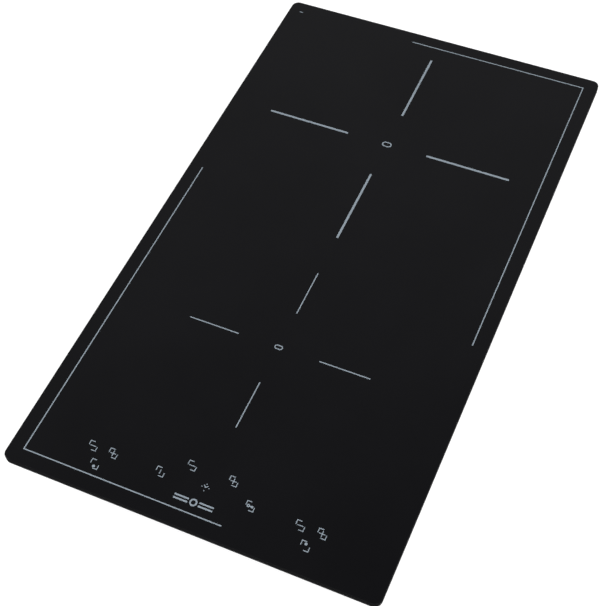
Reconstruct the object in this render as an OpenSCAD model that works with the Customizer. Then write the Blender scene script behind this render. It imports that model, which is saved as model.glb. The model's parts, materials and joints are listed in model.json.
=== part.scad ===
// Built-in electric induction cooktop, narrow two-zone "domino" size.
// Origin: middle of the underside of the steel case. +X right, +Y to the back, +Z up.

/* [Glass panel] */
// Width of the glass, left to right
glass_w = 288; // [284:1:300]
// Depth of the glass, front to back
glass_d = 510; // [508:1:520]
// Thickness of the glass
glass_t = 4; // [4:0.5:6]
// Radius of the glass corners
glass_r = 6; // [3:0.5:10]

/* [Worktop cut-out] */
// Width of the cut-out that the case drops into
cutout_w = 268; // [266:1:270]
// Depth of the cut-out that the case drops into
cutout_d = 490; // [488:1:492]
// Thickness of the foam seal between glass and worktop
seal_t = 2; // [1.5:0.5:3]

/* [Steel case] */
// Height of the case below the worktop surface
case_h = 44; // [44:0.5:50]
// Thickness of the case sheet
sheet_t = 0.8; // [0.6:0.1:1]
// Size of the sloping front lower edge, where warm air leaves
front_slope = 18; // [14:1:20]

/* [Cooking zones] */
// Distance of the rear zone's centre behind the middle of the glass
rear_zone_y = 121; // [119:0.5:122]
// Distance of the front zone's centre in front of the middle of the glass
front_zone_y = 97; // [95:0.5:99]
// Outer reach of the rear zone's printed cross
rear_mark_r = 106.5; // [100:0.5:108]
// Outer reach of the front zone's printed cross
front_mark_r = 73.6; // [70:0.2:80]
// Outer radius of the rear winding
rear_coil_r = 92; // [86:1:92]
// Outer radius of the front winding
front_coil_r = 65; // [60:1:66]

/* [Fan] */
// Outer radius of the fan impeller
impeller_r = 38; // [34:1:40]
// Number of fan blades
blade_count = 32; // [20:1:36]

/* [Control panel] */
// Width and height of each key's bracket pair
key_size = 7.3; // [6:0.1:8]
// Distance of the middle row of keys in front of the middle of the glass
key_row_y = 222.4; // [221:0.1:224]

/* [Hidden] */
$fn = 48;
// small amount by which a cutting shape runs past the face that it cuts
past = 1;
// gap between flat sheet parts that slide together
sheet_gap = 0.2;

// Heights of the main layers
glass_z = case_h + seal_t;
top_z = glass_z + glass_t;
print_t = 0.1;
bond_t = 0.8;
flange_z = glass_z - bond_t - sheet_t;
plate_z = 28;
plate_t = 1.2;
carrier_z = 37;
carrier_t = 2;
winding_z = carrier_z + carrier_t;
winding_h = 4.4;
insulation_z = winding_z + winding_h + 0.2;
insulation_h = glass_z - insulation_z - 0.2;
board_z = 8;
board_t = 1.6;
board_top = board_z + board_t;

// Case outline: the skirt of the frame goes round the tray
fit_gap = 1.5;
skirt_w = cutout_w - 2 * fit_gap;
skirt_d = cutout_d - 2 * fit_gap;
skirt_z = 31;
tray_w = skirt_w - 2 * (sheet_t + sheet_gap);
tray_d = skirt_d - 2 * (sheet_t + sheet_gap);
tray_h = flange_z;
room_x = tray_w / 2 - sheet_t;
room_y = tray_d / 2 - sheet_t;
flange_x = skirt_w / 2 + 7;
flange_y = skirt_d / 2 + 7;
bond_w = 5;
seal_w = 3.6;
seal_inset = 0.1;

// Vents
slot_w = 3;
slot_pitch = 8;
slot_len = 14;

// Ribs pressed into the bottom
rib_w = 10;
rib_len = 250;
rib_h = 1.4;
rib_mid_y = -40;

// Side screws through skirt, tray and coil plate
side_screw_y = [-120, 0, 105];
side_screw_z = 35;
side_screw_r = 1.5;

// Clamp pockets in the lower side edges of the tray
clamp_y = 150;
clamp_x = tray_w / 2 - 7.5;
pocket_depth = 15;
pocket_near = 8;
pocket_far = 26;
pocket_h = 16;
weld_gap = 0.05;
clamp_w = 12;
clamp_reach = 21;
clamp_t = 2.5;
clamp_z = 7;
clamp_screw_r = 2;
clamp_bore_r = 2.08;

// Fan
fan_x = 62;
fan_y = 172;
fan_wall = 1.5;
fan_room_r = 44.5;
fan_h = 26;
spout_left = 17;
spout_front = 124;
shaft_r = 1.5;
shaft_bore_r = 1.56;
rotor_r = 15;
stator_r = 12.6;
rotor_z = 13;

// Heat sink, in line with the fan's outlet
sink_x = 50;
sink_w = 62;
sink_front = -100;
sink_back = 60;
sink_z = 15;
sink_top = 26.5;

// Power board
board_w = 236;
board_front = -128;
board_back = 112;
board_hole_x = 110;
board_hole_y = [-120, -8, 104];

// Coil parts
carrier_rim = 6;
rear_carrier_r = rear_coil_r + carrier_rim;
front_carrier_r = front_coil_r + carrier_rim;
coil_hole_r = 20;
turn_pitch = 4;
ferrite_w = 12;
ferrite_h = 3.6;
sensor_r = 5.5;
spring_r = 4.5;
spring_wire_r = 0.6;

// Control panel, a little to the right of the middle of the glass
panel_x = 1;
group_x = 80.4;
key_pitch = 16.2;
side_key_x = 34.8;
timer_key_x = 16.1;
timer_row_y = key_row_y - 12.7;
zone_row_y = key_row_y + 12.4;
key_stroke = 0.6;
KEYS = [
  [panel_x - group_x - key_pitch / 2, -key_row_y, "minus"],
  [panel_x - group_x + key_pitch / 2, -key_row_y, "plus"],
  [panel_x + group_x - key_pitch / 2, -key_row_y, "minus"],
  [panel_x + group_x + key_pitch / 2, -key_row_y, "plus"],
  [panel_x - timer_key_x, -timer_row_y, "minus"],
  [panel_x + timer_key_x, -timer_row_y, "plus"],
  [panel_x - side_key_x, -key_row_y, "power"],
  [panel_x + side_key_x, -key_row_y, "lock"],
  [panel_x - group_x, -zone_row_y, "front dot"],
  [panel_x + group_x + 0.9, -zone_row_y, "rear dot"]
];

// Control holder
holder_z = 31;
holder_left = -104;
holder_right = 106;
holder_front = -240.5;
holder_back = -202;
holder_wall = 1.6;
control_z = 38;

// Terminal box in the rear left corner
box_left = -122;
box_right = -58;
box_front = 204;
box_wall = 1.6;
box_top = 30;
window_left = -119.8;
window_right = -80.2;
window_top = 26;
cover_top = 28;
cover_t = 1.4;
hinge_y = tray_d / 2 + 0.9;
hinge_z = 3.5;
barrel_r = 1.4;
hinge_pin_r = 0.8;
hinge_hole_r = 0.86;
ear_w = 1.8;
inlet_x = -69;
inlet_z = 14;
inlet_bore_r = 5.5;
inlet_r = 8;

// Routes of the internal leads, from end to end
lead_r = 1.6;
thin_lead_r = 0.9;
REAR_LEAD_A = [
  [-30, 34.5, 41.6], [-31, 26, 41.4], [-33, 19, 39], [-35, 14, 32],
  [-36, 8, 24], [-36, 4, 15], [-36, 4, 10.4]
];
REAR_LEAD_B = [
  [-42, 39.5, 41.6], [-43, 30, 41.4], [-45, 22, 39], [-47, 16, 32],
  [-48, 9, 24], [-48, 4, 15], [-48, 4, 10.4]
];
FRONT_LEAD_A = [
  [-30, -39.6, 41.6], [-31, -31, 41.4], [-33, -25, 39], [-35, -21, 32],
  [-36, -19, 24], [-36, -18, 15], [-36, -18, 10.4]
];
FRONT_LEAD_B = [
  [-42, -47.9, 41.6], [-43, -38, 41.4], [-45, -30, 39], [-47, -24, 32],
  [-48, -20, 24], [-48, -18, 15], [-48, -18, 10.4]
];
REAR_SENSE = [
  [0, 121, 34.4], [0, 106, 31], [-4, 80, 30.6], [-10, 50, 30.6],
  [-14, 20, 31], [-16, 2, 29], [-17, -4, 20], [-17, -6, 10.4]
];
FRONT_SENSE = [
  [0, -97, 34.4], [0, -84, 31], [-3, -60, 30.6], [-8, -38, 30.6],
  [-11, -24, 31], [-13, -15, 29], [-14, -12, 20], [-14, -12, 10.4]
];
LIVE_LEAD = [
  [-112, 213, 11], [-112, 206, 11], [-112, 199, 12], [-111, 180, 18],
  [-110, 150, 20], [-110, 120, 19], [-108, 98, 16], [-106, 92, 12],
  [-106, 91, 10.4]
];
NEUTRAL_LEAD = [
  [-104, 213, 11], [-104, 206, 11], [-104, 199, 12], [-103, 180, 16],
  [-102, 150, 18], [-101, 120, 18], [-99, 98, 15], [-97, 92, 12],
  [-97, 91, 10.4]
];
EARTH_LEAD = [
  [-88, 213, 11], [-88, 206, 11], [-87, 199, 10], [-80, 190, 6],
  [-70, 186, 3.4], [-62, 184, 2.9], [-56, 184, 2.9]
];
FAN_LEAD_ROUTE = [
  [48, 172, 27], [38, 168, 27], [24, 160, 27], [12, 152, 26],
  [8, 140, 20], [4, 124, 15], [2, 106, 13], [2, 98, 12],
  [2, 96, 10.4]
];

// ---------- shared shapes ----------

// Rectangle with round corners, centred
module rounded_outline(w, d, r) {
  square([w - 2 * r, d], center = true);
  square([w, d - 2 * r], center = true);
  for (x = [-1, 1], y = [-1, 1])
    translate([x * (w / 2 - r), y * (d / 2 - r)])
      circle(r);
}

// Flat ring with round corners, standing on z
module rounded_ring(w, d, r, wall, z, h) {
  translate([0, 0, z])
    linear_extrude(h)
      difference() {
        rounded_outline(w, d, r);
        rounded_outline(w - 2 * wall, d - 2 * wall, max(r - wall, 0.5));
      }
}

// Block given by its lowest and highest corner
module block(low, high) {
  translate(low)
    cube(high - low);
}

// Outline drawn in the Y-Z plane and stretched along X, centred
module along_x(w) {
  rotate([90, 0, 90])
    linear_extrude(w, center = true)
      children();
}

// Upright tube
module tube(outer_r, inner_r, z, h) {
  translate([0, 0, z])
    difference() {
      cylinder(r = outer_r, h = h);
      translate([0, 0, -past])
        cylinder(r = inner_r, h = h + 2 * past);
    }
}

// Pan-head screw: head above z = 0, shank below it, cross recess in the head
module pan_screw(r, length, head_r, head_h) {
  difference() {
    union() {
      translate([0, 0, -length])
        cylinder(r = r, h = length + head_h / 2);
      cylinder(r = head_r, h = head_h);
    }
    for (turn = [0, 90])
      rotate(turn)
        translate([-head_r * 0.6, -r * 0.22, head_h * 0.45])
          cube([head_r * 1.2, r * 0.44, head_h]);
  }
}

// Unit vector
function unit(v) = v / norm(v);

// Point on a smooth curve through the points p, at t from 0 to the last index
function curve_point(p, t) =
  let (
    i = min(floor(t), len(p) - 2),
    f = t - i,
    a = p[max(i - 1, 0)],
    b = p[i],
    c = p[i + 1],
    d = p[min(i + 2, len(p) - 1)]
  )
  b + (c - a) * f / 2
  + (a - 2.5 * b + 2 * c - d / 2) * f * f
  + (1.5 * b - a / 2 - 1.5 * c + d / 2) * f * f * f;

function smooth(p, steps) = [for (k = [0:(len(p) - 1) * steps]) curve_point(p, k / steps)];

// Directions along a row of points
function directions(p) =
  [for (i = [0:len(p) - 1]) unit(p[min(i + 1, len(p) - 1)] - p[max(i - 1, 0)])];

// Sideways vectors that turn as little as possible along the row
function sideways(dirs, i, last) =
  i == len(dirs) ? [] :
  let (s = unit(last - (last * dirs[i]) * dirs[i]))
  concat([s], sideways(dirs, i + 1, s));

// Round wire along a row of points
module wire(p, r, sides, start) {
  dirs = directions(p);
  across = sideways(dirs, 0, start);
  rings = [
    for (i = [0:len(p) - 1], k = [0:sides - 1])
      p[i] + r * (cos(360 * k / sides) * across[i] + sin(360 * k / sides) * cross(dirs[i], across[i]))
  ];
  last = (len(p) - 1) * sides;
  skin = [
    for (i = [0:len(p) - 2], k = [0:sides - 1], half = [0, 1])
      let (a = i * sides + k, b = i * sides + (k + 1) % sides)
      half == 0 ? [a, a + sides, b + sides] : [a, b + sides, b]
  ];
  caps = [[for (k = [0:sides - 1]) k], [for (k = [sides - 1:-1:0]) last + k]];
  polyhedron(rings, concat(skin, caps), convexity = 8);
}

module lead(route, r) {
  wire(smooth(route, 4), r, 8, [1, 0.13, 0]);
}

// Coil spring standing on z = 0; flat closed ends are not drawn
module coil_spring(r, wire_r, h, turns, steps, sides) {
  rise = h - 2 * wire_r;
  points = [
    for (k = [0:turns * steps])
      [r * cos(360 * k / steps), r * sin(360 * k / steps), wire_r + rise * k / (turns * steps)]
  ];
  wire(points, wire_r, sides, [1, 0, 0]);
}

// ---------- glass and print ----------

module glass_panel() {
  color([0.09, 0.09, 0.1])
    translate([0, 0, glass_z])
      linear_extrude(glass_t)
        rounded_outline(glass_w, glass_d, glass_r);
}

border_inset = 11.7;
border_w = 0.85;
border_gap_x = 24;
border_gap_y = 41.5;

// One L-shaped border line: long arm up the left side, short arm along the front
module border_corner() {
  x = glass_w / 2 - border_inset;
  y = glass_d / 2 - border_inset;
  h = border_w / 2;
  polygon([
    [-x - h, border_gap_y], [-x - h, -y - h], [border_gap_x, -y - h],
    [border_gap_x, -y + h], [-x + h, -y + h], [-x + h, border_gap_y]
  ]);
}

module on_glass() {
  translate([0, 0, top_z])
    linear_extrude(print_t)
      children();
}

module border_print() {
  color([0.6, 0.65, 0.69])
    on_glass() {
      for (turn = [0, 180])
        rotate(turn)
          border_corner();
      // plain tick in the rear left corner
      translate([-glass_w / 2 + border_inset, glass_d / 2 - border_inset])
        square([3, 0.8], center = true);
    }
}

// Four bars pointing at the zone's centre
module zone_cross(inner_r, outer_r, bar_w) {
  for (turn = [0:90:270])
    rotate(turn)
      translate([inner_r, -bar_w / 2])
        square([outer_r - inner_r, bar_w]);
}

// Plain oval ring in the middle of a zone
module zone_centre(w, h, stroke) {
  difference() {
    stadium(w, h);
    stadium(w - 2 * stroke, h - 2 * stroke);
  }
}

module stadium(w, h) {
  square([w - h, h], center = true);
  for (side = [-1, 1])
    translate([side * (w - h) / 2, 0])
      circle(h / 2);
}

rear_gap_r = 35.2;
front_gap_r = 33;

module zone_print() {
  color([0.6, 0.65, 0.69])
    on_glass() {
      translate([0, rear_zone_y]) {
        zone_cross(rear_gap_r, rear_mark_r, 1.8);
        zone_centre(8.3, 5.4, 1);
      }
      translate([0, -front_zone_y]) {
        zone_cross(front_gap_r, front_mark_r, 0.85);
        zone_centre(6.6, 4, 0.8);
      }
    }
}

// Upper-left bracket of a key, its corner at the origin
module key_bracket() {
  polygon([
    [0, 0], [3.7, 0], [3.7, -key_stroke], [key_stroke, -key_stroke],
    [key_stroke, -3.7], [0, -3.7]
  ]);
}

module bar(w, h) {
  square([w, h], center = true);
}

module key_symbol(kind) {
  if (kind == "minus" || kind == "plus") bar(4.6, key_stroke);
  if (kind == "plus") bar(key_stroke, 4.6);
  if (kind == "power") bar(key_stroke, 3.4);
  if (kind == "front dot") translate([0, -1.7]) circle(1.05);
  if (kind == "rear dot") translate([0, 1.6]) circle(1.05);
  if (kind == "lock") {
    difference() {
      translate([-1.4, 0]) circle(1.2);
      translate([-1.4, 0]) circle(0.45);
    }
    translate([0.3, 0]) bar(1.6, 0.7);
    translate([1.4, -0.2]) bar(1.8, 1.7);
  }
}

module clock_symbol() {
  for (turn = [0:90:270])
    rotate(turn)
      translate([2.7, 0])
        circle(0.38);
  for (turn = [45, 135])
    rotate(turn)
      translate([-key_stroke / 2, -key_stroke / 2])
        square([2.5, key_stroke]);
}

// Plain mark: a ring with a pair of rules on each side
module plain_badge() {
  difference() {
    circle(2.9);
    circle(1.7);
  }
  for (side = [-1, 1], row = [-1, 1])
    translate([side * 9.6, row * 1.3])
      bar(11, 1.2);
}

module key_print() {
  color([0.6, 0.65, 0.69])
    on_glass() {
      for (key = KEYS)
        translate([key[0], key[1]]) {
          for (turn = [0, 180])
            rotate(turn)
              translate([-key_size / 2, key_size / 2])
                key_bracket();
          key_symbol(key[2]);
        }
      translate([panel_x, -key_row_y + 1])
        clock_symbol();
      translate([panel_x - 2.6, -zone_row_y])
        plain_badge();
    }
}

module worktop_seal() {
  color([0.12, 0.12, 0.12])
    rounded_ring(glass_w - 2 * seal_inset, glass_d - 2 * seal_inset, glass_r, seal_w, case_h, seal_t);
}

module glass_bond() {
  color([0.2, 0.2, 0.2])
    rounded_ring(2 * flange_x - 1, 2 * flange_y - 1, 3, bond_w, glass_z - bond_t, bond_t);
}

// ---------- steel case ----------

module side_screw_holes(r) {
  for (y = side_screw_y)
    translate([0, y, side_screw_z])
      rotate([0, 90, 0])
        cylinder(r = r, h = skirt_w + 10, center = true);
}

module case_frame() {
  color([0.62, 0.64, 0.66])
    difference() {
      union() {
        translate([0, 0, flange_z])
          linear_extrude(sheet_t)
            rounded_outline(2 * flange_x, 2 * flange_y, 3);
        block([-skirt_w / 2, -skirt_d / 2, skirt_z], [skirt_w / 2, skirt_d / 2, flange_z + sheet_t]);
      }
      block(
        [-skirt_w / 2 + sheet_t, -skirt_d / 2 + sheet_t, skirt_z - past],
        [skirt_w / 2 - sheet_t, skirt_d / 2 - sheet_t, glass_z]
      );
      side_screw_holes(1.8);
    }
}

// Side view of the tray: sloping front lower edge
module tray_side(inset) {
  y = tray_d / 2 - inset;
  s = front_slope + inset * (sqrt(2) - 1);
  top = inset > 0 ? tray_h + past : tray_h;
  polygon([[-y, s], [-tray_d / 2 + s, inset], [y, inset], [y, top], [-y, top]]);
}

// Box of one clamp pocket, grown by some thickness, from a height up and out to some x
module pocket(side, end, grow, z, x) {
  near = end * (clamp_y - pocket_near - grow);
  far = end * (clamp_y + pocket_far + grow);
  inner = tray_w / 2 - pocket_depth - grow;
  block(
    [min(side * inner, side * x), min(near, far), z],
    [max(side * inner, side * x), max(near, far), pocket_h + grow]
  );
}

// Air slots under the fan, in two columns beside a middle web
module intake_slots() {
  web = 3;
  for (i = [-5:5], side = [-1, 1])
    let (y = i * 6, reach = sqrt(pow(impeller_r - 3, 2) - y * y))
      if (reach > web + 4)
        translate([fan_x + (side > 0 ? web : -reach), fan_y + y - slot_w / 2, -past])
          cube([reach - web, slot_w, sheet_t + 2 * past]);
}

module outlet_slots() {
  for (i = [-13:13])
    translate([i * slot_pitch - slot_w / 2, -tray_d / 2 + 3.5, -past])
      cube([slot_w, 11.5, front_slope + 3]);
}

module rear_slots() {
  for (i = [-4:14])
    translate([i * slot_pitch - slot_w / 2, tray_d / 2 - 2, 9])
      cube([slot_w, 4, slot_len]);
}

module side_slots() {
  for (side = [-1, 1], i = [-7:7])
    translate([side * tray_w / 2 - 2, i * slot_pitch - slot_w / 2, 11])
      cube([4, slot_w, slot_len]);
}

module terminal_window() {
  back = tray_d / 2 - 2;
  block([window_left, back, 1.6], [window_right, back + 4, window_top]);
  block([window_left - ear_w - 0.4, back, 1.6], [window_right + ear_w + 0.4, back + 4, 5.6]);
}

module inlet_hole() {
  translate([inlet_x, tray_d / 2 + 2, inlet_z])
    rotate([90, 0, 0])
      cylinder(r = inlet_r + 0.05, h = 4);
}

// Long stiffening ribs pressed up into the bottom, from some height up
module floor_ribs(grow, z) {
  for (x = [-78, -26, 26, 78])
    translate([x, rib_mid_y, z])
      linear_extrude(rib_h + grow - z)
        rotate(90)
          stadium(rib_len + 2 * grow, rib_w + 2 * grow);
}

// One folded sheet: sloping front, bottom and back wall
module case_tray() {
  color([0.7, 0.72, 0.73])
    difference() {
      union() {
        along_x(2 * room_x)
          difference() {
            tray_side(0);
            tray_side(sheet_t);
          }
        floor_ribs(sheet_t, 0);
      }
      floor_ribs(0, -past);
      for (side = [-1, 1], end = [-1, 1])
        pocket(side, end, sheet_t, -past, tray_w);
      intake_slots();
      outlet_slots();
      rear_slots();
      terminal_window();
      inlet_hole();
    }
}

// Side panels with a window for each clamp, and a steel cup behind each window
module case_sides() {
  color([0.7, 0.72, 0.73])
    difference() {
      union() {
        for (side = [-1, 1])
          translate([side * (tray_w - sheet_t) / 2, 0, 0])
            along_x(sheet_t)
              tray_side(0);
        for (side = [-1, 1], end = [-1, 1])
          pocket(side, end, sheet_t, 0, room_x - weld_gap);
      }
      for (side = [-1, 1], end = [-1, 1])
        pocket(side, end, 0, -past, tray_w / 2 + past);
      side_slots();
      side_screw_holes(1.8);
      at_clamps()
        cylinder(r = clamp_screw_r + 0.05, h = 2 * pocket_h);
    }
}

// Places its children at the four clamp screws, on z = 0
module at_clamps() {
  for (side = [-1, 1], end = [-1, 1])
    translate([side * clamp_x, end * clamp_y, 0])
      children();
}

module case_screws() {
  color([0.75, 0.75, 0.75])
    for (side = [-1, 1], y = side_screw_y)
      translate([side * skirt_w / 2, y, side_screw_z])
        rotate([0, side * 90, 0])
          pan_screw(side_screw_r, 7, 3.2, 1.2);
}

// ---------- clamps ----------

// Clamp lying along +Y from its screw, lip at the far end turned up
module clamp_arm() {
  difference() {
    union() {
      cylinder(r = clamp_w / 2, h = clamp_t);
      translate([-clamp_w / 2, 0, 0])
        cube([clamp_w, clamp_reach, clamp_t]);
      translate([-clamp_w / 2, clamp_reach - clamp_t, 0])
        cube([clamp_w, clamp_t, 6]);
    }
    translate([0, 0, -past])
      cylinder(r = clamp_bore_r, h = clamp_t + 2 * past);
  }
}

module placed_clamp(side, end) {
  color([0.78, 0.78, 0.76])
    translate([side * clamp_x, end * clamp_y, clamp_z])
      rotate(end > 0 ? 0 : 180)
        clamp_arm();
}

module clamp_front_left() { placed_clamp(-1, -1); }
module clamp_front_right() { placed_clamp(1, -1); }
module clamp_rear_left() { placed_clamp(-1, 1); }
module clamp_rear_right() { placed_clamp(1, 1); }

// Long screw with its head under the clamp, and a nut on the pocket's roof
module clamp_screws() {
  nut_z = pocket_h + sheet_t;
  color([0.8, 0.8, 0.78])
    at_clamps() {
      difference() {
        union() {
          translate([0, 0, 3.2])
            cylinder(r = clamp_screw_r, h = 22);
          translate([0, 0, 3])
            cylinder(r = 4, h = clamp_z - 3.2);
        }
        for (turn = [0, 90])
          rotate(turn)
            translate([-2.6, -0.5, 2])
              cube([5.2, 1, 2.6]);
      }
      difference() {
        translate([0, 0, nut_z])
          cylinder(r = 4.04, h = 3.2, $fn = 6);
        translate([0, 0, nut_z - past])
          cylinder(r = clamp_screw_r + 0.05, h = 6);
      }
    }
}

// ---------- fan ----------

// Plan of the fan housing: round room with a spout towards the heat sink
module fan_plan(grow) {
  circle(fan_room_r + grow, $fn = 96);
  translate([spout_left - fan_x - grow, spout_front - fan_y])
    square([fan_x - spout_left + 2 * grow, fan_y - spout_front]);
}

module fan_housing() {
  color([0.16, 0.16, 0.17])
    translate([fan_x, fan_y, 0])
      difference() {
        union() {
          translate([0, 0, sheet_t])
            linear_extrude(fan_h - sheet_t)
              fan_plan(fan_wall);
          for (ear = fan_ears)
            translate([ear[0], ear[1], sheet_t])
              cylinder(r = 4, h = 6);
        }
        linear_extrude(fan_h - fan_wall)
          fan_plan(0);
        translate([spout_left - fan_x, spout_front - fan_y - past, 0])
          cube([fan_x - spout_left, 2 * past, fan_h - fan_wall]);
        for (ear = fan_ears)
          translate([ear[0], ear[1], 0])
            cylinder(r = 1.5, h = 10);
      }
}

fan_ears = [[-36, 33], [36, 33], [44, -21.5]];

module fan_motor() {
  color([0.5, 0.45, 0.4])
    translate([fan_x, fan_y, 0]) {
      translate([0, 0, rotor_z + 2.5])
        cylinder(r = stator_r, h = fan_h - fan_wall - rotor_z - 2.5);
      translate([0, 0, 4])
        cylinder(r = shaft_r, h = 14);
    }
}

module fan_impeller() {
  web_z = rotor_z - 1.5;
  blade_z = 3.5;
  color([0.1, 0.1, 0.1])
    translate([fan_x, fan_y, 0])
      difference() {
        union() {
          translate([0, 0, web_z])
            cylinder(r = impeller_r, h = 1.5, $fn = 96);
          tube(rotor_r, stator_r + 0.6, rotor_z - 0.7, 9.7);
          translate([0, 0, 5])
            cylinder(r = 4, h = rotor_z - 5.7);
          for (i = [0:blade_count - 1])
            rotate(i * 360 / blade_count)
              translate([impeller_r - 9, 0, blade_z])
                rotate(28)
                  cube([7.2, 1, web_z + 0.7 - blade_z]);
          tube(impeller_r, impeller_r - 3.2, 3, 1.5);
        }
        translate([0, 0, -past])
          cylinder(r = shaft_bore_r, h = 30);
      }
}

module air_guide() {
  front = sink_back + 1;
  back = spout_front - 0.5;
  left = spout_left - fan_wall;
  right = sink_x + sink_w / 2 + 3;
  color([0.2, 0.2, 0.21])
    difference() {
      block([left, front, board_top + 0.6], [right, back, plate_z - 0.2]);
      block(
        [left + fan_wall, front - past, board_top - past],
        [right - fan_wall, back + past, plate_z - 0.2 - fan_wall]
      );
    }
}

// ---------- coils ----------

plate_front = -192;
plate_back = room_y - 1;

module coil_plate() {
  edge = room_x - sheet_gap;
  color([0.83, 0.84, 0.85])
    difference() {
      union() {
        block([-edge, plate_front, plate_z], [edge, plate_back, plate_z + plate_t]);
        for (side = [-1, 1])
          block(
            [side > 0 ? edge - plate_t : -edge, plate_front, plate_z],
            [side > 0 ? edge : -edge + plate_t, plate_back, plate_z + 11]
          );
      }
      // corner left free for the terminal box
      block(
        [-edge - past, box_front - 4, plate_z - past],
        [box_right + 4, plate_back + past, carrier_z + 10]
      );
      // passages for the coil leads, the sensor leads and the ribbon cable
      block([-54, -27, plate_z - past], [-26, 20, plate_z + 2 * plate_t]);
      block([-20, -24, plate_z - past], [-9, 14, plate_z + 2 * plate_t]);
      for (side = [-1, 1], y = side_screw_y)
        translate([side * room_x, y, side_screw_z])
          rotate([0, 90, 0])
            cylinder(r = side_screw_r + 0.05, h = 6, center = true);
    }
}

module springs_under(y, r, count) {
  h = carrier_z - plate_z - plate_t;
  for (turn = [0:360 / count:359])
    translate([r * cos(turn), y + r * sin(turn), plate_z + plate_t])
      coil_spring(spring_r, spring_wire_r, h, 4, 12, 6);
}

module coil_springs() {
  color([0.75, 0.75, 0.74]) {
    springs_under(rear_zone_y, rear_coil_r - 8, 4);
    springs_under(-front_zone_y, front_coil_r - 6, 3);
  }
}

// Plastic disc with ribs that hold the ferrite bars, and a collar round the sensor
module coil_carrier(y, r, bars) {
  color([0.86, 0.84, 0.78])
    translate([0, y, 0])
      difference() {
        union() {
          translate([0, 0, carrier_z])
            cylinder(r = r, h = carrier_t, $fn = 96);
          tube(r, r - 1.6, winding_z - past, 1 + past);
          for (i = [0:bars - 1])
            rotate((i + 0.5) * 360 / bars)
              for (side = [-1, 1])
                translate([coil_hole_r + 6, side * (ferrite_w / 2 + 0.8) - 0.6, carrier_z - 3])
                  cube([r - coil_hole_r - 16, 1.2, 3.5]);
          tube(coil_hole_r - 2, coil_hole_r - 4, winding_z - past, winding_h);
        }
        translate([0, 0, carrier_z - past])
          cylinder(r = sensor_r + 2.6, h = 10);
        for (i = [0:bars - 1])
          rotate(i * 360 / bars)
            translate([r - 26, 0, carrier_z - past])
              cylinder(r = 3.5, h = carrier_t + 2 * past);
      }
}

// Flat coil of stranded wire: a ring with one ridge for each turn
module winding(y, outer_r) {
  turns = floor((outer_r - coil_hole_r) / turn_pitch);
  groove = 0.9;
  start = outer_r - turns * turn_pitch;
  top = [
    for (i = [0:turns - 1], step = [0:2])
      let (x = start + i * turn_pitch)
      step == 0 ? [x, winding_h - groove] :
      step == 1 ? [x + turn_pitch * 0.3, winding_h] : [x + turn_pitch * 0.7, winding_h]
  ];
  outline = concat([[start, 0]], top, [[outer_r, winding_h - groove], [outer_r, 0]]);
  color([0.72, 0.42, 0.22])
    translate([0, y, winding_z])
      rotate_extrude($fn = 96)
        polygon(outline);
}

module ferrites(y, outer_r, bars) {
  length = outer_r - coil_hole_r - 12;
  color([0.25, 0.25, 0.27])
    translate([0, y, 0])
      for (i = [0:bars - 1])
        rotate((i + 0.5) * 360 / bars)
          translate([coil_hole_r + 6, -ferrite_w / 2, carrier_z - ferrite_h])
            cube([length, ferrite_w, ferrite_h]);
}

module insulation(y, r) {
  color([0.93, 0.92, 0.88])
    translate([0, y, 0])
      tube(r, sensor_r + 1, insulation_z, insulation_h);
}

// Temperature probe in a silicone cap, pressed up against the glass
module sensor(y) {
  color([0.85, 0.3, 0.2])
    translate([0, y, 0])
      difference() {
        union() {
          translate([0, 0, carrier_z - 2])
            cylinder(r = sensor_r + 2.2, h = 6);
          translate([0, 0, carrier_z])
            cylinder(r = sensor_r, h = glass_z - carrier_z);
        }
        translate([0, 0, carrier_z - 3])
          cylinder(r = 2, h = 6);
      }
}

module rear_coil_carrier() { coil_carrier(rear_zone_y, rear_carrier_r, 8); }
module rear_winding() { winding(rear_zone_y, rear_coil_r); }
module rear_ferrites() { ferrites(rear_zone_y, rear_coil_r, 8); }
module rear_insulation() { insulation(rear_zone_y, rear_coil_r + 2); }
module rear_sensor() { sensor(rear_zone_y); }
module front_coil_carrier() { coil_carrier(-front_zone_y, front_carrier_r, 6); }
module front_winding() { winding(-front_zone_y, front_coil_r); }
module front_ferrites() { ferrites(-front_zone_y, front_coil_r, 6); }
module front_insulation() { insulation(-front_zone_y, front_coil_r + 2); }
module front_sensor() { sensor(-front_zone_y); }

// ---------- power electronics ----------

module at_board_holes() {
  for (x = [-board_hole_x, board_hole_x], y = board_hole_y)
    translate([x, y, 0])
      children();
}

module power_board() {
  color([0.1, 0.35, 0.18])
    difference() {
      block([-board_w / 2, board_front, board_z], [board_w / 2, board_back, board_top]);
      at_board_holes()
        translate([0, 0, board_z - past])
          cylinder(r = 1.7, h = 4);
    }
}

module board_standoffs() {
  color([0.8, 0.7, 0.4])
    at_board_holes()
      difference() {
        translate([0, 0, sheet_t])
          cylinder(r = 3.2, h = board_z - sheet_t, $fn = 6);
        translate([0, 0, sheet_t + 1.2])
          cylinder(r = 1.35, h = board_z);
      }
}

module heat_sink() {
  fins = 11;
  gap = (sink_w - 1.6) / (fins - 1);
  left = sink_x - sink_w / 2;
  color([0.8, 0.81, 0.82]) {
    block([left, sink_front, sink_z], [left + sink_w, sink_back, sink_z + 3]);
    for (i = [0:fins - 1])
      block([left + i * gap, sink_front, sink_z + 2], [left + i * gap + 1.6, sink_back, sink_top]);
  }
}

// Flat power device lying under the heat sink, legs down into the board
module power_device(w, d, legs) {
  block([-w / 2, -d / 2, board_top + 0.5], [w / 2, d / 2, sink_z]);
  for (i = [0:legs - 1])
    let (x = (i - (legs - 1) / 2) * 4.5)
      block([x - 0.6, d / 2 - past, board_top], [x + 0.6, d / 2 + 2.2, board_top + 2]);
}

module power_transistors() {
  color([0.08, 0.08, 0.08])
    for (y = [-80, -50, -10, 20])
      translate([sink_x - 12, y, 0])
        power_device(16, 20, 3);
}

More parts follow.
